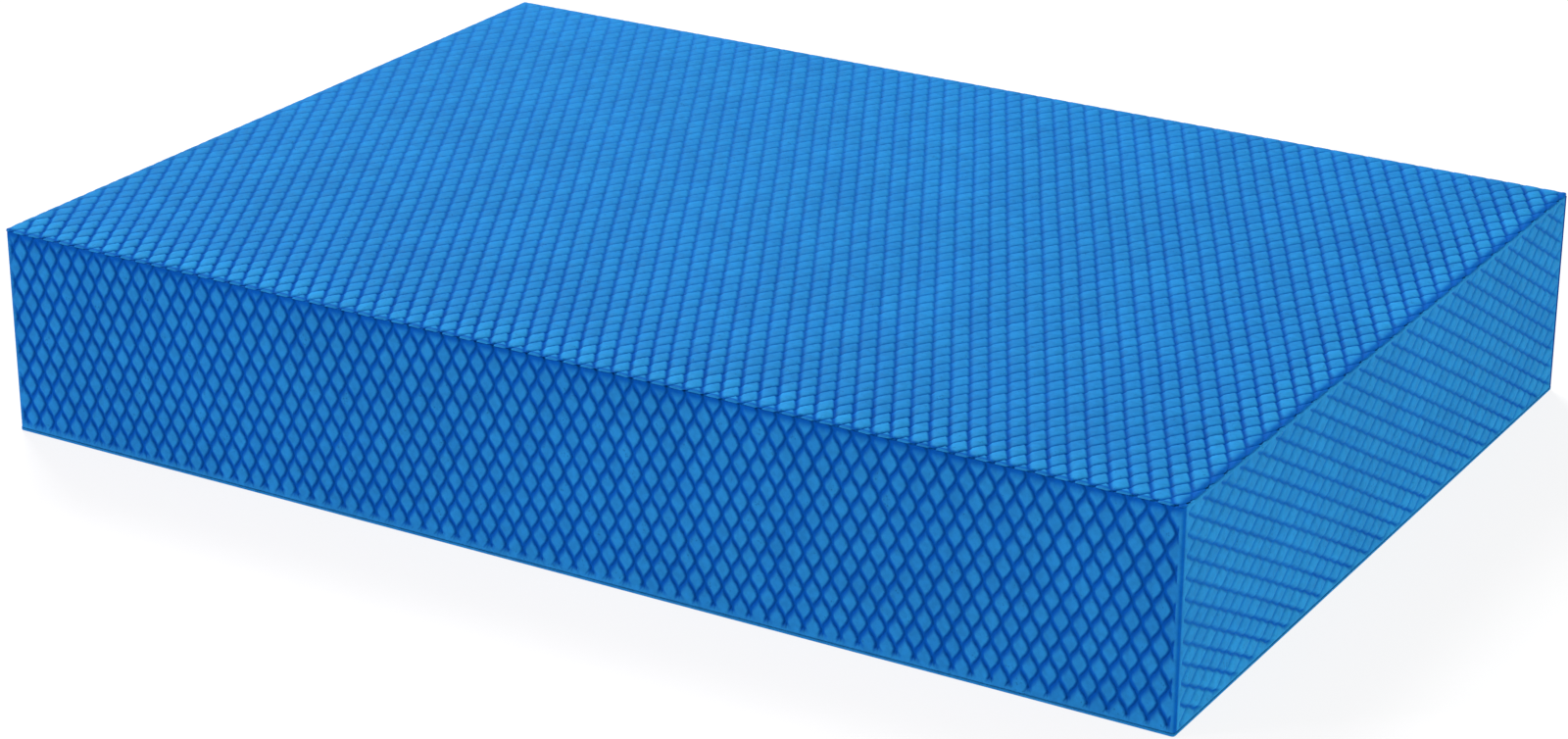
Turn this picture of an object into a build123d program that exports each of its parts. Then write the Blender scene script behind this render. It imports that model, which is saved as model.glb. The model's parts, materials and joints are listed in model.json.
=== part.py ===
"""Foam balance pad: a laminated foam block wrapped in six bonded skins.

Millimetres, +Z up. The origin is the centre of the underside, +X runs along the long side, and the
front is the long side at -Y.

The block is a core of equal foam slabs. A top and a bottom sheet cover the whole plan, and four side
strips stand between them. The front and back strips run the full length, and the left and right
strips fit between their ends.
"""

import os

from build123d import *

# Overall size
PAD_LENGTH = 355.0
PAD_WIDTH = 250.0
PAD_HEIGHT = 60.0

# Skins
SKIN_THICKNESS = 1.0
CORNER_RADIUS = 0.9  # the block's four upright corners
RIM_RADIUS = 0.6  # the outer rim of the top and bottom sheets

# Core, from the floor up
SLAB_NAMES = ("lower_slab", "middle_slab", "upper_slab")

# Worked out from the sizes above
STRIP_HEIGHT = PAD_HEIGHT - 2 * SKIN_THICKNESS
CORE_LENGTH = PAD_LENGTH - 2 * SKIN_THICKNESS
CORE_WIDTH = PAD_WIDTH - 2 * SKIN_THICKNESS
SLAB_THICKNESS = STRIP_HEIGHT / len(SLAB_NAMES)

ON_FLOOR = (Align.CENTER, Align.CENTER, Align.MIN)


def sheet(outer_face):
    """A full-plan sheet lying at z = 0, with rounded corners and a rounded rim on its outer face.

    outer_face is Align.MAX where the rim is on the upper face, and Align.MIN where it is below.
    """
    blank = Box(PAD_LENGTH, PAD_WIDTH, SKIN_THICKNESS, align=ON_FLOOR)
    rounded = fillet(blank.edges().filter_by(Axis.Z), CORNER_RADIUS)
    levels = rounded.edges().group_by(Axis.Z)
    rim = levels[-1] if outer_face == Align.MAX else levels[0]
    return fillet(rim, RIM_RADIUS)


def long_strip(side):
    """The front strip (side -1) or the back strip (side +1), with its two outer corners rounded."""
    inner_y = side * (PAD_WIDTH / 2 - SKIN_THICKNESS)
    depth_align = Align.MAX if side < 0 else Align.MIN
    strip = Pos(0, inner_y, SKIN_THICKNESS) * Box(
        PAD_LENGTH, SKIN_THICKNESS, STRIP_HEIGHT, align=(Align.CENTER, depth_align, Align.MIN)
    )
    uprights = strip.edges().filter_by(Axis.Z).sort_by(Axis.Y)
    outer = uprights[:2] if side < 0 else uprights[-2:]
    return fillet(outer, CORNER_RADIUS)


def short_strip(side):
    """The left strip (side -1) or the right strip (side +1), between the ends of the long strips."""
    centre_x = side * (PAD_LENGTH - SKIN_THICKNESS) / 2
    strip = Box(SKIN_THICKNESS, CORE_WIDTH, STRIP_HEIGHT, align=ON_FLOOR)
    return Pos(centre_x, 0, SKIN_THICKNESS) * strip


def slab(level):
    """One foam slab of the core. Level 0 is the lowest."""
    base_z = SKIN_THICKNESS + level * SLAB_THICKNESS
    return Pos(0, 0, base_z) * Box(CORE_LENGTH, CORE_WIDTH, SLAB_THICKNESS, align=ON_FLOOR)


def pad_pieces():
    """Every piece of the pad by its node name."""
    pieces = {
        "bottom_skin": sheet(Align.MIN),
        "top_skin": Pos(0, 0, PAD_HEIGHT - SKIN_THICKNESS) * sheet(Align.MAX),
        "front_skin": long_strip(-1),
        "back_skin": long_strip(1),
        "left_skin": short_strip(-1),
        "right_skin": short_strip(1),
    }
    for level, name in enumerate(SLAB_NAMES):
        pieces[name] = slab(level)
    return pieces


os.makedirs("parts", exist_ok=True)
for name, piece in pad_pieces().items():
    piece.label = name
    export_step(piece, f"parts/{name}.step")
    size = piece.bounding_box().size
    print(f"{name}: {size.X:.2f} x {size.Y:.2f} x {size.Z:.2f} mm, {piece.volume / 1000:.1f} cm3")
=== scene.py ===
import json
import math
from typing import NamedTuple

import bmesh
import bpy
import numpy as np
from mathutils import Matrix, Vector

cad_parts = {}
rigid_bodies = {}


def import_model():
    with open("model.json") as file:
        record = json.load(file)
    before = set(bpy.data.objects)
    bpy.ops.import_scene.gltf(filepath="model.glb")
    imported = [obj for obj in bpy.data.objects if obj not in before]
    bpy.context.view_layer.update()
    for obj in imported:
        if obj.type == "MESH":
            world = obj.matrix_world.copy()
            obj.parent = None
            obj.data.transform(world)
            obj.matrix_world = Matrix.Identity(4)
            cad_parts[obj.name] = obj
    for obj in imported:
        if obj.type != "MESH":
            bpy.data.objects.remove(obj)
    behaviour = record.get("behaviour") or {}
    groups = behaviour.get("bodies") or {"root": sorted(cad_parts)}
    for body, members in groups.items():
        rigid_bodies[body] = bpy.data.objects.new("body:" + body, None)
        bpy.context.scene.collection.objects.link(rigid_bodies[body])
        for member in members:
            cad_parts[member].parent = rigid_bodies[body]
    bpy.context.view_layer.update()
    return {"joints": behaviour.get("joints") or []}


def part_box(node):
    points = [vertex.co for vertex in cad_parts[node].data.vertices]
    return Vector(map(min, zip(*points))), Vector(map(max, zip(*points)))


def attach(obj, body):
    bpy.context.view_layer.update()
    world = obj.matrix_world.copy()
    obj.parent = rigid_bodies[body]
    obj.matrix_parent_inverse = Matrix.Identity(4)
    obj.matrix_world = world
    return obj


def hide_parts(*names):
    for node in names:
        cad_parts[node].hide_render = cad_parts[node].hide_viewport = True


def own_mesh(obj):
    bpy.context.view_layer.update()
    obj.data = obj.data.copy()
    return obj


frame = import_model()

MM = 0.001
BASE_BODY = frame["joints"][0]["parent"]
TOP_BODY = frame["joints"][0]["child"]

# The block, read from the frame
top_low, top_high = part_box("top_skin")
LENGTH = top_high.x - top_low.x
WIDTH = top_high.y - top_low.y
HEIGHT = top_high.z
CORE_TOP = top_low.z
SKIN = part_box("bottom_skin")[1].z

# Embossing: eye-shaped pillows between narrow grooves
SHEET_PITCH = (5.31 * MM, 10.0 * MM)  # a diamond's short and long way
LONG_STRIP_PITCH = (5.24 * MM, 9.86 * MM)
SHORT_STRIP_PITCH = (5.45 * MM, 10.3 * MM)
GROOVE_DEPTH = 0.72 * MM
GROOVE_FLOOR = 0.03  # half the width of a groove's flat floor, as a share of a diamond's side
PILLOW_LINE = 0.40  # an extra line across each pillow of the side strips
PILLOW_MIDDLE = 0.5
PILLOW_CROWN = 0.03 * MM
PLUMP_CROWN = 0.40 * MM  # how much rounder pillows are where the embossing is deepened
PLUMP_PAINTED_LIGHT = 7.5  # how much painted light they get there
EYE_BULGE = 0.21 * MM  # how far grooves swing, which makes diamonds eye-shaped
PILLOW_UNEVEN = 0.035 * MM
LIFT_LOWEST = -2.0  # each pillow has its own small lift, in this range
LIFT_HIGHEST = 1.0
LIFT_TABLE = (257, 263)  # how many pillows each way have their own lift before it repeats

# Slow waves, so that rows aren't ruler-straight and faces aren't quite flat
WAVE_TURN = 6.28  # radians to a wave
NET_WAVES = 4
NET_WAVE_LOW = 0.05 * MM
NET_WAVE_HIGH = 0.13 * MM
NET_WAVE_LENGTH = 90 * MM  # the shortest
FACE_SWELLS = 5
FACE_SWELL_LENGTH = 70 * MM  # the shortest
FACE_UNEVEN = 0.10 * MM

# Edges
SEAM_GAP = 0.03 * MM
CORNER_RADIUS = 0.9 * MM
THINNEST = 0.12 * MM  # what a groove leaves of a skin where it runs over a rim
UNDERCUT = 0.06 * MM  # how far a sheet's cut edge leans in below its rim
EDGE_NOTCH = 0.40 * MM  # how far a groove draws in the edge that it runs over
EDGE_WAVES = ((1.25 * MM, 0.0), (2.1 * MM, 1.9), (4.7 * MM, 4.0))  # length and phase of each
NOTCH_REACH = 0.9 * MM
MARGIN_FADE = 0.5 * MM
OPEN_REACH = 3.0 * MM
RIM_REACH = 20 * MM  # how far in from an edge its roll and its deeper embossing run
CREASE_PAINTED_SHADE = 0.95  # how far the painted shade along a crease darkens it
CREASE_DEPTH = 0.18 * MM
PILLOW_WEIGHT = 80  # how far shading follows the big faces, so that pillows look flat
RIM_ROWS = (0.12, 0.4, 1.0, 2.4)  # where points follow a rim's curve, as shares of its radius
BORDER_REACH = 12 * MM

# Core slabs
CORE_GAP = 0.05 * MM
SLAB_EDGE = 0.5 * MM
SLAB_ROWS = (0.0, 0.1, 0.4)  # where points follow a slab's rounded edge, as shares of its radius
SLAB_STEP = 6 * MM
SKIVE_UNEVEN = 0.08 * MM
SKIVE_WAVES = 4
SKIVE_WAVE_LENGTH = 40 * MM  # the shortest

# Mesh making
BEND_STEPS = 24  # how often a point is stepped back through the net's bend
FACING_SAMPLE = 50  # how many faces show which way a net faces
CUT_SNAP = 1e-7  # points this close to a cut lie on it
WELD = 1e-6  # points this close are one
NEARLY_ZERO = 1e-9

# Foam colours and surface, in linear light
SKIN_LOOK = {
    # painted shade: grooves are coloured darker than pillows
    "groove": (0.002, 0.083, 0.385, 1.0),
    "pillow": (0.015, 0.183, 0.485, 1.0),
    # a random lighter tone, and painted light on plump pillows by the edges
    "bright": (0.024, 0.270, 0.600, 1.0),
    "gloss": 0.005,
    "sheen": 0.0,
    "roughness": 0.5,
    "pit_spacing": 0.8 * MM,
    "pit_from": 0.61,
    "bump": 0.5,
    "bump_height": 0.16 * MM,
}
CORE_LOOK = {
    "groove": (0.006, 0.190, 0.560, 1.0),
    "pillow": (0.006, 0.190, 0.560, 1.0),
    "bright": (0.020, 0.300, 0.720, 1.0),
    "gloss": 0.06,
    "sheen": 0.02,
    "roughness": 0.72,
    "pit_spacing": 0.9 * MM,
    "pit_from": 0.30,
    "bump": 0.8,
    "bump_height": 0.3 * MM,
}

# Foam texture, for both looks. A span is the range of a noise or a relief that is spread out.
FOAM_IOR = 1.46
SHEEN_ROUGHNESS = 0.4
SHEEN_TINT = (0.6, 0.7, 1.0, 1.0)
GROOVE_TO_PILLOW_SPAN = (0.25, 1.0)
DRIFT_SIZE = 34 * MM
DRIFT_SPAN = (0.35, 0.68)
DRIFT = 0.03
MOTTLE_SIZE = 1.9 * MM
MOTTLE_DETAIL = 3.0
MOTTLE_SPAN = (0.3, 0.7)
MOTTLE = 0.08
MOTTLE_ROUGHNESS_SPAN = (0.25, 0.75)
MOTTLE_ROUGHNESS = 0.07
MOTTLE_HEIGHT = 0.55
GRAIN_SIZE = 0.42 * MM
GRAIN_HEIGHT = 0.3
ROUGH_NOISE = 0.6
PIT_CORE = 0.16  # a pit is deepest to here, as a share of the pit spacing
PIT_RIM = 0.34
PIT_CLUSTER_SIZE = 4.6 * MM
PIT_CLUSTER_EDGE = 0.06
PIT_RELIEF_SPAN = (0.6, 1.0)
# painted shade inside the pits
PIT_PAINTED_SHADE = 0.3
PIT_HEIGHT = 0.7
TONE_HIGHEST = 6.0  # the tone, random lift plus painted light, at which a pillow is lightest
TONE_SHARE = 0.75  # how much of the bright colour it then has

# Stage
WHITE = (1.0, 1.0, 1.0, 1.0)
FLOOR_HALF = 20.0
FLOOR_GLOW = 0.84
FLOOR_PATCH = 0.8
FLOOR_SPAN = (0.3, 0.7)
FLOOR_DARK = (0.14, 0.14, 0.14, 1.0)
FLOOR_LIGHT = (0.17, 0.17, 0.17, 1.0)
SKY_AT_SIDES = 0.46
SKY_OVERHEAD = 0.45
SKY_BAND = (0.02, 0.45)  # the heights between which one turns into the other

CAMERA_TARGET = Vector((0.0001, -0.0072, 0.0147))
CAMERA_AZIMUTH = math.radians(30.86)
CAMERA_ELEVATION = math.radians(22.26)
CAMERA_ROLL = math.radians(0.14)
CAMERA_DISTANCE = 1.0732
CAMERA_LENS = 88.03
CAMERA_NEAR = 0.05
CAMERA_FAR = 60.0
SENSOR_WIDTH = 36.0


# --- Shape helpers ---------------------------------------------------------------------------------


def smooth_step(x):
    """0 below 0, 1 above 1, and a smooth rise between."""
    t = np.clip(x, 0.0, 1.0)
    return t * t * (3 - 2 * t)


def hump(share):
    """0 at both ends of a cell, and 1 in its middle."""
    return 4 * share * (1 - share)


def rounded_drop(distance, radius):
    """How far a rim of that radius has dropped at a distance inside the edge."""
    inside = np.clip(radius - distance, 0.0, radius)
    return radius - np.sqrt(np.maximum(radius * radius - inside * inside, 0.0))


def edge_wave(u, v):
    """An edge's irregular wandering, from 0 to 1."""
    waves = [np.sin((u + v) / length + phase) for length, phase in EDGE_WAVES]
    return (1 + sum(waves) / len(waves)) / 2


class Edge(NamedTuple):
    """How a skin ends on one side, in metres and shares."""

    margin: float  # plain border with no embossing
    rim: float  # radius of the rounded edge
    open: float  # a groove's depth where it meets the edge, as a share of its full depth
    crease_shade_width: float  # width of the crease line: its dip and the painted shade along it
    crease: float = 0.0  # how far inside the edge that line runs
    roll: float = 0.0  # how far the face has sunk by the edge
    deepen: float = 0.0  # how much deeper the embossing is by the edge, as a share
    relax: float = 0.0  # how much of its depth the embossing has lost by the opposite side
    wobble: float = 0.0  # how far the edge wanders inward


class Lattice:
    """A net of diamonds on a face, with its own pitch, turn and unevenness.

    pitch is the diamond's short and long way, and long_along says which face axis the long one
    follows. Whole values of a cell coordinate are the centre lines of one family of grooves.
    flanks says for each family how far its two sides rise to, as shares of a diamond's side, and
    depths how deep it is, as a share of the full depth. A shade power below 1 lightens the painted
    groove shade on the flanks, and one above 1 darkens it.
    """

    def __init__(self, seed, pitch, long_along, centre, flanks, depths, turn, groove_shade_power):
        self.short, self.long = pitch
        self.long_along = long_along
        self.centre = centre
        self.flanks = flanks
        self.depths = depths
        self.turn = turn
        self.groove_shade_power = groove_shade_power
        draw = np.random.default_rng(seed)
        self.waves = [
            (
                draw.uniform(NET_WAVE_LOW, NET_WAVE_HIGH),
                *draw.uniform(-1, 1, 2) / NET_WAVE_LENGTH,
                *draw.uniform(0, WAVE_TURN, 2),
            )
            for _ in range(NET_WAVES)
        ]
        self.lift = draw.normal(0.0, 1.0, LIFT_TABLE)
        self.swell = [
            (*draw.uniform(-1, 1, 2) / FACE_SWELL_LENGTH, draw.uniform(0, WAVE_TURN))
            for _ in range(FACE_SWELLS)
        ]

    def bend(self, s, l):
        """The face's own distances as the net's straight ones: slow waves and eye shape."""
        across, along = s, l
        for height, fs, fl, phase_s, phase_l in self.waves:
            across = across + height * np.sin(WAVE_TURN * (fs * s + fl * l) + phase_s)
            along = along + height * np.sin(WAVE_TURN * (fs * l - fl * s) + phase_l)
        eye = np.sin(2 * math.pi * across / self.short) * np.cos(2 * math.pi * along / self.long)
        return across - 2 * EYE_BULGE * eye, along

    def to_net(self, u, v):
        """Face point to the net's short and long distances from the centre of one diamond."""
        du, dv = u - self.centre[0], v - self.centre[1]
        s, l = (du, dv) if self.long_along == "v" else (dv, du)
        cos, sin = math.cos(self.turn), math.sin(self.turn)
        return s * cos + l * sin, l * cos - s * sin

    def from_net(self, s, l):
        """The way back from to_net."""
        cos, sin = math.cos(self.turn), math.sin(self.turn)
        s, l = s * cos - l * sin, l * cos + s * sin
        du, dv = (s, l) if self.long_along == "v" else (l, s)
        return du + self.centre[0], dv + self.centre[1]

    def cells(self, u, v):
        """The two cell coordinates of a face point. A diamond's centre is at halves."""
        s, l = self.bend(*self.to_net(u, v))
        return s / self.short + l / self.long + 0.5, s / self.short - l / self.long + 0.5

    def place(self, a, b):
        """The face point of two cell coordinates, by stepping back through the bend."""
        want_s = (a + b - 1) * self.short / 2
        want_l = (a - b) * self.long / 2
        s, l = want_s.copy(), want_l.copy()
        for _ in range(BEND_STEPS):
            got_s, got_l = self.bend(s, l)
            s += want_s - got_s
            l += want_l - got_l
        return self.from_net(s, l)

    def pillow(self, a, b):
        """1 on a pillow, 0 on a groove's floor, and the crown's share of its height."""
        past_a, past_b = a - np.floor(a), b - np.floor(b)
        rises = []
        for past, flanks, depth in zip((past_a, past_b), self.flanks, self.depths):
            low = smooth_step((past - GROOVE_FLOOR) / (flanks[0] - GROOVE_FLOOR))
            high = smooth_step((1 - past - GROOVE_FLOOR) / (flanks[1] - GROOVE_FLOOR))
            rises.append(1 - depth * (1 - low * high))
        first, second = rises
        both = first * second
        raised = both / np.maximum(first + second - both, NEARLY_ZERO)
        return raised, hump(past_a) * hump(past_b)

    def uneven(self, a, b):
        """Each pillow's own lift."""
        row = np.floor(a).astype(int) % self.lift.shape[0]
        column = np.floor(b).astype(int) % self.lift.shape[1]
        return np.clip(self.lift[row, column], LIFT_LOWEST, LIFT_HIGHEST)

    def rolling(self, u, v):
        """The face's slow unevenness, from -1 to 0."""
        swells = [np.sin(WAVE_TURN * (fu * u + fv * v) + phase) for fu, fv, phase in self.swell]
        return (sum(swells) / len(swells) - 1) / 2


def groove_stops(flanks, fine):
    """Where the net's lines run across one cell: at a groove's floor and edges, and between."""
    low, high = flanks
    if fine:
        rising = [0.0, GROOVE_FLOOR, (GROOVE_FLOOR + low) / 2, low, PILLOW_LINE]
        falling = [GROOVE_FLOOR, (GROOVE_FLOOR + high) / 2, high, PILLOW_LINE]
    else:
        rising = [GROOVE_FLOOR, low, PILLOW_MIDDLE]
        falling = [GROOVE_FLOOR, high]
    return rising + [1 - stop for stop in reversed(falling)]


def net_mesh(lattice, size, fine):
    """The lattice's quads that reach a face, as a bmesh in the face's own plane."""
    corners_u = np.array([0, size[0], 0, size[0]])
    corners_v = np.array([0, 0, size[1], size[1]])
    edge_a, edge_b = lattice.cells(corners_u, corners_v)
    lines = []
    for edge, flanks in zip((edge_a, edge_b), lattice.flanks):
        whole = np.arange(math.floor(edge.min()) - 1, math.ceil(edge.max()) + 2)
        lines.append((whole[:, None] + np.array(groove_stops(flanks, fine))).ravel())
    a, b = np.meshgrid(*lines, indexing="ij")
    u, v = lattice.place(a, b)
    reach = lattice.long
    inside = (u > -reach) & (u < size[0] + reach) & (v > -reach) & (v < size[1] + reach)
    quad_inside = inside[:-1, :-1] & inside[1:, :-1] & inside[1:, 1:] & inside[:-1, 1:]
    low_u, high_u = corner_range(u)
    low_v, high_v = corner_range(v)
    quad_inside &= (high_u > 0) & (low_u < size[0]) & (high_v > 0) & (low_v < size[1])
    index = np.arange(a.size).reshape(a.shape)
    rows, columns = np.nonzero(quad_inside)
    quads = np.stack(
        [
            index[rows, columns],
            index[rows, columns + 1],
            index[rows + 1, columns + 1],
            index[rows + 1, columns],
        ],
        axis=1,
    )
    used, renumbered = np.unique(quads, return_inverse=True)
    points = np.stack([u.ravel()[used], v.ravel()[used], np.zeros(len(used))], axis=1)
    mesh = bpy.data.meshes.new("net")
    mesh.from_pydata(points.tolist(), [], renumbered.reshape(-1, 4).tolist())
    bm = bmesh.new()
    bm.from_mesh(mesh)
    bpy.data.meshes.remove(mesh)
    facing = sum(f.calc_area() * f.normal.z for f in bm.faces[:FACING_SAMPLE])
    if facing < 0:
        bmesh.ops.reverse_faces(bm, faces=bm.faces[:])
    return bm


def corner_range(grid):
    """The lowest and highest of each quad's four corners."""
    four = np.stack([grid[:-1, :-1], grid[1:, :-1], grid[1:, 1:], grid[:-1, 1:]])
    return four.min(axis=0), four.max(axis=0)


def cut_border(bm, size, rims):
    """Trims the net to its face, with rows of points where each side's rim curves down."""
    sides = ((0, 0.0, -1.0), (0, size[0], 1.0), (1, 0.0, -1.0), (1, size[1], 1.0))
    for (axis, edge, outward), rim in zip(sides, rims):
        faces = [f for f in bm.faces if abs(f.calc_center_median()[axis] - edge) < BORDER_REACH]
        spots = {vertex for face in faces for vertex in face.verts}
        edges = {line for face in faces for line in face.edges}
        near = [*spots, *edges, *faces]
        for share in (0.0, *RIM_ROWS):
            point = Vector((0, 0, 0))
            point[axis] = edge - outward * share * rim
            normal = Vector((0, 0, 0))
            normal[axis] = outward
            cut = bmesh.ops.bisect_plane(
                bm, geom=near, dist=CUT_SNAP, plane_co=point, plane_no=normal, clear_outer=share == 0.0
            )
            near = [item for item in cut["geom"] if item.is_valid]


def close_below(bm, size, depth, undercut):
    """Walls the trimmed face down to a flat underside at that depth, so that it is a closed solid."""
    border = [e for e in bm.edges if e.is_boundary]
    walled = bmesh.ops.extrude_edge_only(bm, edges=border)
    foot = [item for item in walled["geom"] if isinstance(item, bmesh.types.BMVert)]
    ring = [item for item in walled["geom"] if isinstance(item, bmesh.types.BMEdge)]
    for vertex in foot:
        vertex.co.x = min(max(vertex.co.x, undercut), size[0] - undercut)
        vertex.co.y = min(max(vertex.co.y, undercut), size[1] - undercut)
        vertex.co.z = -depth
    bmesh.ops.edgeloop_fill(bm, edges=ring)
    for edge in ring:
        edge.smooth = False
    bmesh.ops.recalc_face_normals(bm, faces=bm.faces[:])


def round_plan_corners(u, v, size, radius):
    """Draws the face's four square corners in to that radius, with no fold."""
    for at_u, way_u in ((radius, -1), (size[0] - radius, 1)):
        for at_v, way_v in ((radius, -1), (size[1] - radius, 1)):
            out_u = (u - at_u) * way_u
            out_v = (v - at_v) * way_v
            corner = (out_u > 0) & (out_v > 0)
            share = np.maximum(out_u, out_v) / np.maximum(np.hypot(out_u, out_v), NEARLY_ZERO)
            u = np.where(corner, at_u + (u - at_u) * share, u)
            v = np.where(corner, at_v + (v - at_v) * share, v)
    return u, v


def edge_effects(inside, edges, size):
    """What a skin's four edges do to its face, from each point's distances inside them.

    Gives how much of its depth the embossing has, how plump the pillows are, which also sets painted
    light, how far the face has dropped, and how creased it is, which dips the face and sets the painted
    shade along the crease.
    """
    pressed = np.ones_like(inside[0])
    plump_and_painted_light = np.zeros_like(pressed)
    drop = np.zeros_like(pressed)
    crease_dip_and_shade = np.zeros_like(pressed)
    for distance, edge in zip(inside, edges):
        if edge.margin > 0:
            pressed *= smooth_step((distance - edge.margin) / MARGIN_FADE)
        pressed *= edge.open + (1 - edge.open) * smooth_step(distance / OPEN_REACH)
        by_edge = 1 - smooth_step(distance / RIM_REACH)
        pressed *= 1 + edge.deepen * by_edge
        plump_and_painted_light = np.maximum(plump_and_painted_light, edge.deepen * by_edge)
        rounding = rounded_drop(np.maximum(distance, 0.0), edge.rim)
        drop = np.maximum(drop, rounding + edge.roll * by_edge)
        # a crease dips the face and has painted shade along its line
        if edge.crease_shade_width > 0:
            crease = np.exp(-(((distance - edge.crease) / edge.crease_shade_width) ** 2))
            crease_dip_and_shade = np.maximum(crease_dip_and_shade, crease)
    relaxed = [
        edge.relax * np.sqrt(np.clip(distance / across, 0.0, 1.0))
        for distance, edge, across in zip(inside, edges, (size[0], size[0], size[1], size[1]))
        if edge.relax > 0
    ]
    if relaxed:
        pressed *= 1 - np.min(relaxed, axis=0)
    return pressed, plump_and_painted_light, drop, crease_dip_and_shade


def notch_edges(u, v, inside, edges, relief):
    """Draws each edge in where a groove runs over it, and by its own wandering."""
    notch = EDGE_NOTCH * (1 - relief)
    pull = [
        (notch + edge.wobble * edge_wave(u, v)) * np.exp(-((distance / NOTCH_REACH) ** 2))
        for distance, edge in zip(inside, edges)
    ]
    return u + pull[0] - pull[1], v + pull[2] - pull[3]


def store_shading(bm, painted_shade_lightness, tones_and_painted_light):
    """Puts on each point its painted groove and crease shade, and its pillow's tone and painted light.
    """
    shade_layer = bm.verts.layers.float.new("relief")
    tone_layer = bm.verts.layers.float.new("tone_and_painted_light")
    for vertex, light, tone_and_painted_light in zip(bm.verts, painted_shade_lightness, tones_and_painted_light):
        vertex[shade_layer] = light
        vertex[tone_layer] = tone_and_painted_light


def embossed_skin(name, size, lattice, fine, edges, plan_radius, undercut, to_frame):
    """One foam skin: a closed sheet with the lattice pressed into its outer face.

    edges says how it ends at low u, high u, low v and high v. to_frame takes the face's own u, v
    and outward axes to the row frame.
    """
    bm = net_mesh(lattice, size, fine)
    cut_border(bm, size, [edge.rim for edge in edges])
    points = np.array([vertex.co[:] for vertex in bm.verts])
    u, v = points[:, 0], points[:, 1]
    a, b = lattice.cells(u, v)
    raised, crown = lattice.pillow(a, b)
    lift = lattice.uneven(a, b)
    inside = (u, size[0] - u, v, size[1] - v)
    pressed, plump_and_painted_light, drop, crease_dip_and_shade = edge_effects(inside, edges, size)

    relief = 1 - (1 - raised) * pressed
    w = -GROOVE_DEPTH * (1 - relief)
    w -= (PILLOW_CROWN + PLUMP_CROWN * plump_and_painted_light) * (1 - crown) * pressed * raised
    w -= PILLOW_UNEVEN * (LIFT_HIGHEST - lift) / 2 * pressed * raised
    w -= CREASE_DEPTH * crease_dip_and_shade
    w += FACE_UNEVEN * lattice.rolling(u, v)
    w = np.maximum(w - drop, THINNEST - SKIN)
    u, v = notch_edges(u, v, inside, edges, relief)
    if plan_radius > 0:
        u, v = round_plan_corners(u, v, size, plan_radius)
    for vertex, place in zip(bm.verts, np.stack([u, v, w], axis=1)):
        vertex.co = place

    # painted shade: colour darker down the groove flanks and along creases; painted light on plump
    # pillows by the edges
    painted_shade_lightness = np.clip(relief, 0.0, 1.0) ** lattice.groove_shade_power * (1 - CREASE_PAINTED_SHADE * crease_dip_and_shade)
    store_shading(bm, painted_shade_lightness, lift + PLUMP_PAINTED_LIGHT * plump_and_painted_light)
    close_below(bm, size, SKIN, undercut)
    bm.transform(to_frame)
    skin = finish_mesh(name, bm)
    skin.modifiers.new("flat_pillows", "WEIGHTED_NORMAL").weight = PILLOW_WEIGHT
    return skin


def finish_mesh(name, bm):
    """A smooth-shaded object from a bmesh, which it frees."""
    for face in bm.faces:
        face.smooth = True
    mesh = bpy.data.meshes.new(name)
    bm.to_mesh(mesh)
    bm.free()
    piece = bpy.data.objects.new(name, mesh)
    bpy.context.scene.collection.objects.link(piece)
    return piece


def axes_frame(origin, u_way, v_way):
    """The matrix from a face's u, v and outward axes to the row frame."""
    u_axis, v_axis = Vector(u_way), Vector(v_way)
    out = u_axis.cross(v_axis)
    turn = Matrix((u_axis, v_axis, out)).transposed().to_4x4()
    return Matrix.Translation(origin) @ turn


# --- Skins -----------------------------------------------------------------------------------------


def full_sheets():
    """The top and bottom sheets, which cover the whole plan."""
    size = (LENGTH, WIDTH)
    half_x, half_y = LENGTH / 2, WIDTH / 2
    # crease widths set where painted shade runs along each rim
    far_edge = Edge(margin=0.0, rim=0.45 * MM, open=0.1, crease_shade_width=0.5 * MM)
    near_edge = Edge(
        margin=0.0, rim=0.65 * MM, open=1.0, crease_shade_width=0.5 * MM, crease=0.6 * MM,
        deepen=0.6, relax=0.56, wobble=0.45 * MM,
    )
    right_edge = Edge(
        margin=0.0, rim=0.65 * MM, open=0.9, crease_shade_width=1.6 * MM, crease=0.8 * MM, roll=0.1 * MM,
        deepen=0.6, relax=0.56, wobble=0.3 * MM,
    )
    floor_edge = Edge(margin=3.0 * MM, rim=0.25 * MM, open=1.0, crease_shade_width=0.0)
    profile = {"flanks": ((0.26, 0.20), (0.12, 0.19)), "depths": (0.95, 1.0), "groove_shade_power": 0.75}
    top_net = Lattice(
        seed=11, pitch=SHEET_PITCH, long_along="v", centre=(344.6 * MM, 8.96 * MM), turn=0.0, **profile
    )
    bottom_net = Lattice(
        seed=12, pitch=SHEET_PITCH, long_along="v", centre=(3.1 * MM, 4.4 * MM),
        turn=math.radians(0.3), **profile,
    )
    top = embossed_skin(
        "top_foam_sheet", size, top_net, fine=False,
        edges=(far_edge, right_edge, near_edge, far_edge), plan_radius=CORNER_RADIUS, undercut=UNDERCUT,
        to_frame=axes_frame((-half_x, -half_y, HEIGHT), (1, 0, 0), (0, 1, 0)),
    )
    bottom = embossed_skin(
        "bottom_foam_sheet", size, bottom_net, fine=False,
        edges=(floor_edge,) * 4, plan_radius=CORNER_RADIUS, undercut=0.0,
        to_frame=axes_frame((-half_x, half_y, 0), (1, 0, 0), (0, -1, 0)),
    )
    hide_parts("top_skin")
    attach(top, TOP_BODY)
    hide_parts("bottom_skin")
    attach(bottom, BASE_BODY)
    return [top, bottom]


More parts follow.
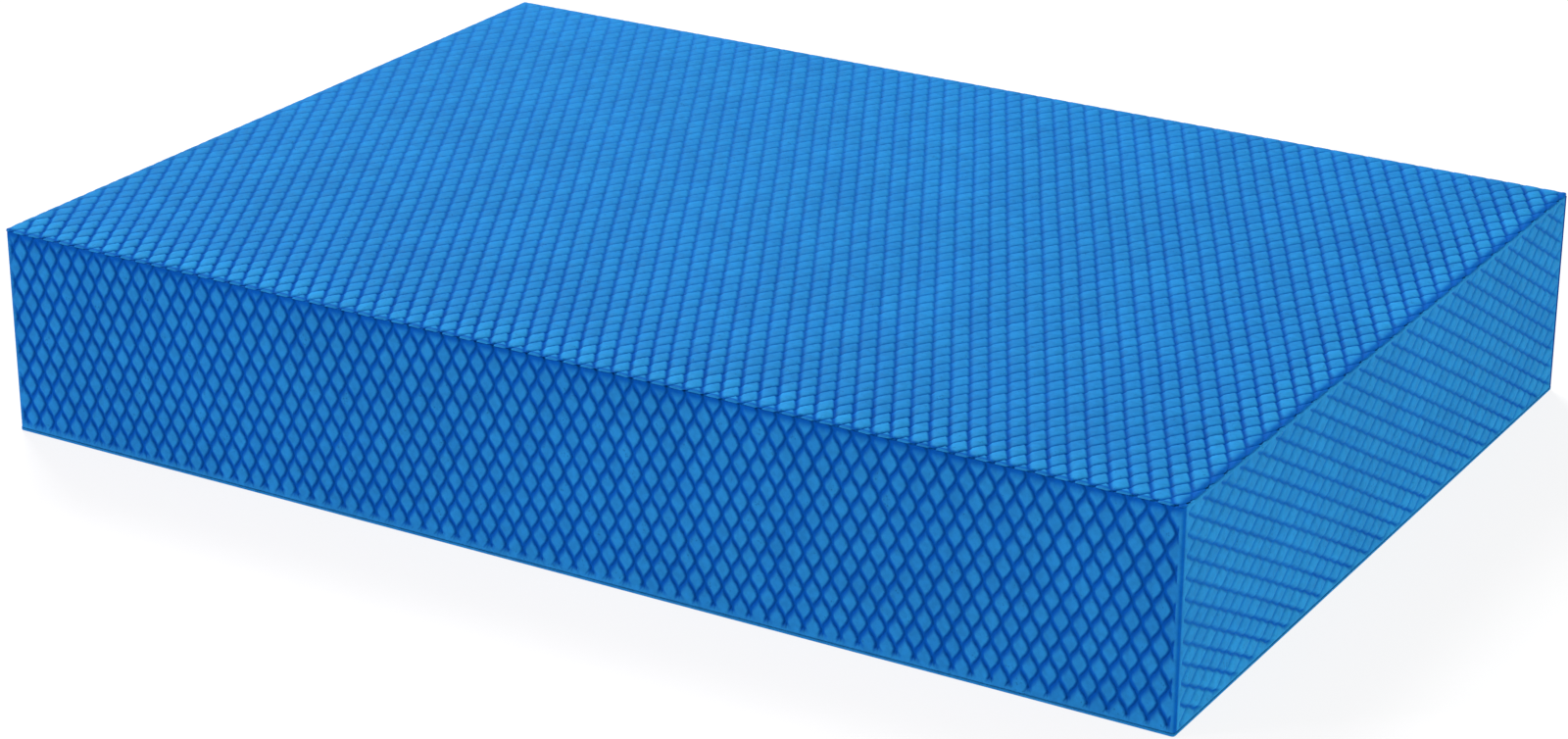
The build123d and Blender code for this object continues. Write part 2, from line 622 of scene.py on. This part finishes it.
def long_strips(height, foot):
    """The front and back strips, which run the full length. Their diamonds stand upright."""
    half_x, half_y = LENGTH / 2, WIDTH / 2
    # crease widths set painted shade down the corners and under the top sheet's lip
    corner = Edge(margin=1.0 * MM, rim=CORNER_RADIUS, open=1.0, crease_shade_width=0.6 * MM)
    lower_edge = Edge(margin=1.1 * MM, rim=0.12 * MM, open=1.0, crease_shade_width=0.0)
    upper_edge = Edge(margin=0.0, rim=0.35 * MM, open=0.9, crease_shade_width=1.6 * MM)
    strips = []
    for name, seed, node, start, u_way in (
        ("front_foam_strip", 21, "front_skin", (-half_x, -half_y, foot), (1, 0, 0)),
        ("back_foam_strip", 22, "back_skin", (half_x, half_y, foot), (-1, 0, 0)),
    ):
        net = Lattice(
            seed=seed, pitch=LONG_STRIP_PITCH, long_along="v", centre=(287.6 * MM, 51.6 * MM),
            flanks=((0.34, 0.17), (0.34, 0.17)), depths=(1.0, 1.0),
            turn=math.radians(-0.3), groove_shade_power=1.15,
        )
        strip = embossed_skin(
            name, (LENGTH, height), net, fine=True,
            edges=(corner, corner, lower_edge, upper_edge), plan_radius=0.0, undercut=0.0,
            to_frame=axes_frame(start, u_way, (0, 0, 1)),
        )
        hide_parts(node)
        strips.append(strip)
    return strips


def short_strips(height, foot):
    """The right and left strips, between the ends of the long ones. Their diamonds lie down."""
    half_x = LENGTH / 2
    width = WIDTH - 2 * SKIN - 2 * SEAM_GAP
    # crease width sets painted shade along the butts
    butt = Edge(margin=1.6 * MM, rim=0.3 * MM, open=1.0, crease_shade_width=0.6 * MM)
    lower_edge = Edge(margin=0.2 * MM, rim=0.12 * MM, open=1.0, crease_shade_width=0.0, deepen=0.2)
    upper_edge = Edge(margin=0.8 * MM, rim=0.3 * MM, open=1.0, crease_shade_width=0.0)
    strips = []
    for name, seed, node, start, u_way in (
        ("right_foam_strip", 23, "right_skin", (half_x, -width / 2, foot), (0, 1, 0)),
        ("left_foam_strip", 24, "left_skin", (-half_x, width / 2, foot), (0, -1, 0)),
    ):
        net = Lattice(
            seed=seed, pitch=SHORT_STRIP_PITCH, long_along="u", centre=(7.0 * MM, 50.0 * MM),
            flanks=((0.24, 0.18), (0.24, 0.18)), depths=(0.8, 0.55),
            turn=math.radians(0.2), groove_shade_power=0.6,
        )
        strip = embossed_skin(
            name, (width, height), net, fine=True,
            edges=(butt, butt, lower_edge, upper_edge), plan_radius=0.0, undercut=0.0,
            to_frame=axes_frame(start, u_way, (0, 0, 1)),
        )
        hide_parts(node)
        strips.append(strip)
    return strips


def side_strips():
    """The four strips, which stand between the sheets."""
    height = CORE_TOP - SKIN - 2 * SEAM_GAP
    foot = SKIN + SEAM_GAP
    strips = long_strips(height, foot) + short_strips(height, foot)
    for strip in strips:
        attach(strip, BASE_BODY)
        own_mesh(strip)
    return strips


skins = full_sheets() + side_strips()


# --- Core ------------------------------------------------------------------------------------------


def rounded_rows(half):
    """Coordinates along one axis of a slab: close together in its rounded ends, even between."""
    inner = half - SLAB_EDGE
    count = max(2, round(2 * inner / SLAB_STEP))
    ends = [half - share * SLAB_EDGE for share in SLAB_ROWS]
    return [-x for x in ends] + list(np.linspace(-inner, inner, count + 1)) + ends[::-1]


def grid_box(rows):
    """A closed box as a bmesh, with points at the given rows along each axis."""
    bm = bmesh.new()
    for axis in range(3):
        first, second = (k for k in range(3) if k != axis)
        for side in (rows[axis][0], rows[axis][-1]):
            grid = []
            for p in rows[first]:
                line = []
                for q in rows[second]:
                    spot = Vector((0, 0, 0))
                    spot[axis], spot[first], spot[second] = side, p, q
                    line.append(bm.verts.new(spot))
                grid.append(line)
            for i in range(len(grid) - 1):
                for j in range(len(grid[0]) - 1):
                    bm.faces.new((grid[i][j], grid[i + 1][j], grid[i + 1][j + 1], grid[i][j + 1]))
    bmesh.ops.remove_doubles(bm, verts=bm.verts[:], dist=WELD)
    bmesh.ops.recalc_face_normals(bm, faces=bm.faces[:])
    return bm


def foam_slab(name, node, body, seed):
    """One slab of the core: split foam with softly rounded edges and gently uneven skived faces."""
    low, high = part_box(node)
    half = (high - low) / 2 - Vector((CORE_GAP, CORE_GAP, CORE_GAP))
    core = half - Vector((SLAB_EDGE, SLAB_EDGE, SLAB_EDGE))
    bm = grid_box([rounded_rows(half[axis]) for axis in range(3)])
    draw = np.random.default_rng(seed)
    ripples = [
        (*draw.uniform(-1, 1, 2) / SKIVE_WAVE_LENGTH, draw.uniform(0, WAVE_TURN))
        for _ in range(SKIVE_WAVES)
    ]
    for vertex in bm.verts:
        inner = Vector([max(-core[k], min(core[k], vertex.co[k])) for k in range(3)])
        out = vertex.co - inner
        if out.length > 0:
            vertex.co = inner + out.normalized() * SLAB_EDGE
        wave = sum(
            math.sin(WAVE_TURN * (fx * inner.x + fy * inner.y) + phase) for fx, fy, phase in ripples
        )
        vertex.co.z *= 1 - SKIVE_UNEVEN * (1 + wave / len(ripples)) / (2 * half.z)
    bmesh.ops.translate(bm, verts=bm.verts[:], vec=(low + high) / 2)
    slab = finish_mesh(name, bm)
    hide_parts(node)
    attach(slab, body)
    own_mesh(slab)
    return slab


def core_slabs():
    """The three slabs: the lower one on the base body, the other two on the top body."""
    return [
        foam_slab("lower_foam_slab", "lower_slab", BASE_BODY, 31),
        foam_slab("middle_foam_slab", "middle_slab", TOP_BODY, 32),
        foam_slab("upper_foam_slab", "upper_slab", TOP_BODY, 33),
    ]


# --- Materials -------------------------------------------------------------------------------------


def shader_node(tree, kind, inputs=None, **properties):
    """A new shader node, with its properties and the plain values of its inputs set."""
    made = tree.nodes.new(kind)
    for key, value in properties.items():
        setattr(made, key, value)
    for key, value in (inputs or {}).items():
        made.inputs[key].default_value = value
    return made


def noise(tree, place, size, detail=2.0, rough=0.5):
    """A noise value with features of about that size."""
    made = shader_node(
        tree, "ShaderNodeTexNoise", {"Scale": 1 / size, "Detail": detail, "Roughness": rough}
    )
    tree.links.new(place, made.inputs["Vector"])
    return made.outputs["Fac"]


def remap(tree, value, low, high, to_low=0.0, to_high=1.0, kind="SMOOTHSTEP"):
    """The value taken from one range to another, with a smooth start and end unless kind says so."""
    made = shader_node(
        tree,
        "ShaderNodeMapRange",
        {"From Min": low, "From Max": high, "To Min": to_low, "To Max": to_high},
        interpolation_type=kind,
    )
    tree.links.new(value, made.inputs["Value"])
    return made.outputs["Result"]


def combine(tree, operation, first, second):
    """Math on two values. Each is a socket or a number."""
    made = shader_node(tree, "ShaderNodeMath", operation=operation)
    for socket, value in zip(made.inputs, (first, second)):
        if isinstance(value, (int, float)):
            socket.default_value = value
        else:
            tree.links.new(value, socket)
    return made.outputs["Value"]


def blend_colours(tree, share, first, second, how="MIX"):
    """Two colours mixed by a share. Each colour is a socket or a plain colour."""
    made = shader_node(tree, "ShaderNodeMix", data_type="RGBA", blend_type=how)
    factor, colour_a, colour_b = made.inputs[0], made.inputs[6], made.inputs[7]
    for socket, value in ((factor, share), (colour_a, first), (colour_b, second)):
        if isinstance(value, bpy.types.NodeSocket):
            tree.links.new(value, socket)
        else:
            socket.default_value = value
    return made.outputs[2]


def foam_pits(tree, place, relief, look):
    """How far a point is inside a pit. Pits are small cells broken open, in loose clusters."""
    cells = shader_node(
        tree, "ShaderNodeTexVoronoi", {"Scale": 1 / look["pit_spacing"], "Randomness": 1.0}
    )
    tree.links.new(place, cells.inputs["Vector"])
    dots = remap(tree, cells.outputs["Distance"], PIT_CORE, PIT_RIM, 1.0, 0.0)
    spread = noise(tree, place, PIT_CLUSTER_SIZE, detail=1.0)
    clusters = remap(tree, spread, look["pit_from"], look["pit_from"] + PIT_CLUSTER_EDGE)
    pits = combine(tree, "MULTIPLY", dots, clusters)
    on_pillow = remap(tree, relief, *PIT_RELIEF_SPAN)
    return combine(tree, "MULTIPLY", pits, on_pillow)


def foam_colour(tree, place, relief, mottle, pits, look):
    """Painted shade in grooves, creases and pits; each pillow's tone, with painted light; some
    mottling.
    """
    tone_and_painted_light = shader_node(tree, "ShaderNodeAttribute", attribute_name="tone_and_painted_light").outputs["Fac"]
    height = remap(tree, relief, *GROOVE_TO_PILLOW_SPAN, kind="LINEAR")
    groove_shaded_colour = blend_colours(tree, height, look["groove"], look["pillow"])
    # the share of the bright colour is random tone plus painted light on plump pillows
    tone_share = remap(tree, tone_and_painted_light, LIFT_LOWEST, TONE_HIGHEST, 0.0, TONE_SHARE)
    lit = combine(tree, "MULTIPLY", tone_share, relief)
    toned = blend_colours(tree, lit, groove_shaded_colour, look["bright"])
    pit_shade = combine(tree, "MULTIPLY", pits, -PIT_PAINTED_SHADE)
    mottle_shade = remap(tree, mottle, *MOTTLE_SPAN, 1 - MOTTLE, 1 + MOTTLE)
    drift = remap(tree, noise(tree, place, DRIFT_SIZE), *DRIFT_SPAN, -DRIFT, DRIFT)
    shade = combine(tree, "ADD", mottle_shade, pit_shade)
    shade = combine(tree, "ADD", shade, drift)
    shading = shader_node(tree, "ShaderNodeCombineColor")
    for channel in shading.inputs:
        tree.links.new(shade, channel)
    return blend_colours(tree, 1.0, toned, shading.outputs["Color"], "MULTIPLY")


def foam_bump(tree, place, mottle, pits, look):
    """The surface's fine unevenness: mottling, grain and pits."""
    grain = noise(tree, place, GRAIN_SIZE, rough=ROUGH_NOISE)
    mottle_height = combine(tree, "MULTIPLY", mottle, MOTTLE_HEIGHT)
    grain_height = combine(tree, "MULTIPLY", grain, GRAIN_HEIGHT)
    pit_height = combine(tree, "MULTIPLY", pits, PIT_HEIGHT)
    height = combine(tree, "ADD", mottle_height, grain_height)
    height = combine(tree, "SUBTRACT", height, pit_height)
    bump = shader_node(
        tree, "ShaderNodeBump", {"Strength": look["bump"], "Distance": look["bump_height"]}
    )
    tree.links.new(height, bump.inputs["Height"])
    return bump.outputs["Normal"]


def foam_material(name, look):
    """Closed-cell foam: a moulded surface with fine grain, pitted spots and colour that drifts."""
    material = bpy.data.materials.new(name)
    material.use_nodes = True
    tree = material.node_tree
    tree.nodes.clear()
    shader = shader_node(
        tree,
        "ShaderNodeBsdfPrincipled",
        {
            "IOR": FOAM_IOR,
            "Specular IOR Level": look["gloss"],
            "Sheen Weight": look["sheen"],
            "Sheen Roughness": SHEEN_ROUGHNESS,
            "Sheen Tint": SHEEN_TINT,
        },
    )
    output = shader_node(tree, "ShaderNodeOutputMaterial")
    tree.links.new(shader.outputs["BSDF"], output.inputs["Surface"])
    place = shader_node(tree, "ShaderNodeTexCoord").outputs["Object"]
    # relief holds the painted groove and crease shade, as a lightness
    relief = shader_node(tree, "ShaderNodeAttribute", attribute_name="relief").outputs["Fac"]
    mottle = noise(tree, place, MOTTLE_SIZE, MOTTLE_DETAIL, ROUGH_NOISE)
    pits = foam_pits(tree, place, relief, look)
    colour = foam_colour(tree, place, relief, mottle, pits, look)
    tree.links.new(colour, shader.inputs["Base Color"])
    rough_change = remap(
        tree, mottle, *MOTTLE_ROUGHNESS_SPAN, -MOTTLE_ROUGHNESS, MOTTLE_ROUGHNESS
    )
    roughness = combine(tree, "ADD", rough_change, look["roughness"])
    tree.links.new(roughness, shader.inputs["Roughness"])
    tree.links.new(foam_bump(tree, place, mottle, pits, look), shader.inputs["Normal"])
    return material


def dress(pieces, material):
    """Gives each piece its material."""
    for piece in pieces:
        piece.data.materials.append(material)


slabs = core_slabs()
dress(skins, foam_material("embossed_foam", SKIN_LOOK))
dress(slabs, foam_material("core_foam", CORE_LOOK))


# --- Stage -----------------------------------------------------------------------------------------


def studio_floor():
    """A large pale floor, with a little variation so that it isn't one flat colour."""
    bm = bmesh.new()
    bmesh.ops.create_grid(bm, x_segments=8, y_segments=8, size=FLOOR_HALF)
    floor = finish_mesh("studio_floor", bm)
    material = bpy.data.materials.new("studio_floor")
    material.use_nodes = True
    tree = material.node_tree
    shader = tree.nodes["Principled BSDF"]
    shader.inputs["Specular IOR Level"].default_value = 0.1
    shader.inputs["Roughness"].default_value = 0.8
    shader.inputs["Emission Color"].default_value = WHITE
    shader.inputs["Emission Strength"].default_value = FLOOR_GLOW
    place = shader_node(tree, "ShaderNodeTexCoord").outputs["Object"]
    patches = remap(tree, noise(tree, place, FLOOR_PATCH), *FLOOR_SPAN)
    tree.links.new(blend_colours(tree, patches, FLOOR_DARK, FLOOR_LIGHT), shader.inputs["Base Color"])
    floor.data.materials.append(material)


def soft_light(name, place, size, watts, colour):
    """A square soft light, aimed at the middle of the block."""
    lamp = bpy.data.lights.new(name, "AREA")
    lamp.shape = "SQUARE"
    lamp.size = size
    lamp.energy = watts
    lamp.color = colour
    light = bpy.data.objects.new(name, lamp)
    light.location = place
    aim = Vector((0, 0, HEIGHT / 2)) - light.location
    light.rotation_euler = aim.to_track_quat("-Z", "Y").to_euler()
    bpy.context.scene.collection.objects.link(light)


def white_surround():
    """An even white studio, a touch brighter round the sides than overhead."""
    world = bpy.data.worlds.new("studio")
    world.use_nodes = True
    tree = world.node_tree
    background = tree.nodes["Background"]
    way = shader_node(tree, "ShaderNodeTexCoord").outputs["Generated"]
    parts = shader_node(tree, "ShaderNodeSeparateXYZ")
    tree.links.new(way, parts.inputs["Vector"])
    level = remap(tree, parts.outputs["Z"], *SKY_BAND, SKY_AT_SIDES, SKY_OVERHEAD)
    tree.links.new(level, background.inputs["Strength"])
    background.inputs["Color"].default_value = WHITE
    bpy.context.scene.world = world


def studio_camera():
    """A long lens from the front right, a little above the block."""
    data = bpy.data.cameras.new("camera")
    data.lens = CAMERA_LENS
    data.sensor_width = SENSOR_WIDTH
    data.sensor_fit = "HORIZONTAL"
    data.clip_start = CAMERA_NEAR
    data.clip_end = CAMERA_FAR
    camera = bpy.data.objects.new("camera", data)
    across = Vector((math.sin(CAMERA_AZIMUTH), -math.cos(CAMERA_AZIMUTH), 0))
    away = across * math.cos(CAMERA_ELEVATION) + Vector((0, 0, math.sin(CAMERA_ELEVATION)))
    camera.location = CAMERA_TARGET + away * CAMERA_DISTANCE
    level = away.to_track_quat("Z", "Y").to_matrix().to_4x4()
    camera.matrix_world = (
        Matrix.Translation(camera.location) @ level @ Matrix.Rotation(CAMERA_ROLL, 4, "Z")
    )
    bpy.context.scene.collection.objects.link(camera)
    bpy.context.scene.camera = camera


studio_floor()
white_surround()
soft_light("key_from_back_left", place=(-1.55, 1.4, 2.1), size=1.2, watts=98.0, colour=WHITE[:3])
soft_light("front_left", place=(-1.9, -1.9, 0.7), size=0.45, watts=35.0, colour=(0.95, 0.80, 1.0))
soft_light("right", place=(1.8, -0.3, 0.4), size=0.45, watts=18.0, colour=(1.0, 0.9, 0.72))
studio_camera()
bpy.context.scene.view_settings.view_transform = "Standard"
bpy.context.scene.view_settings.look = "None"
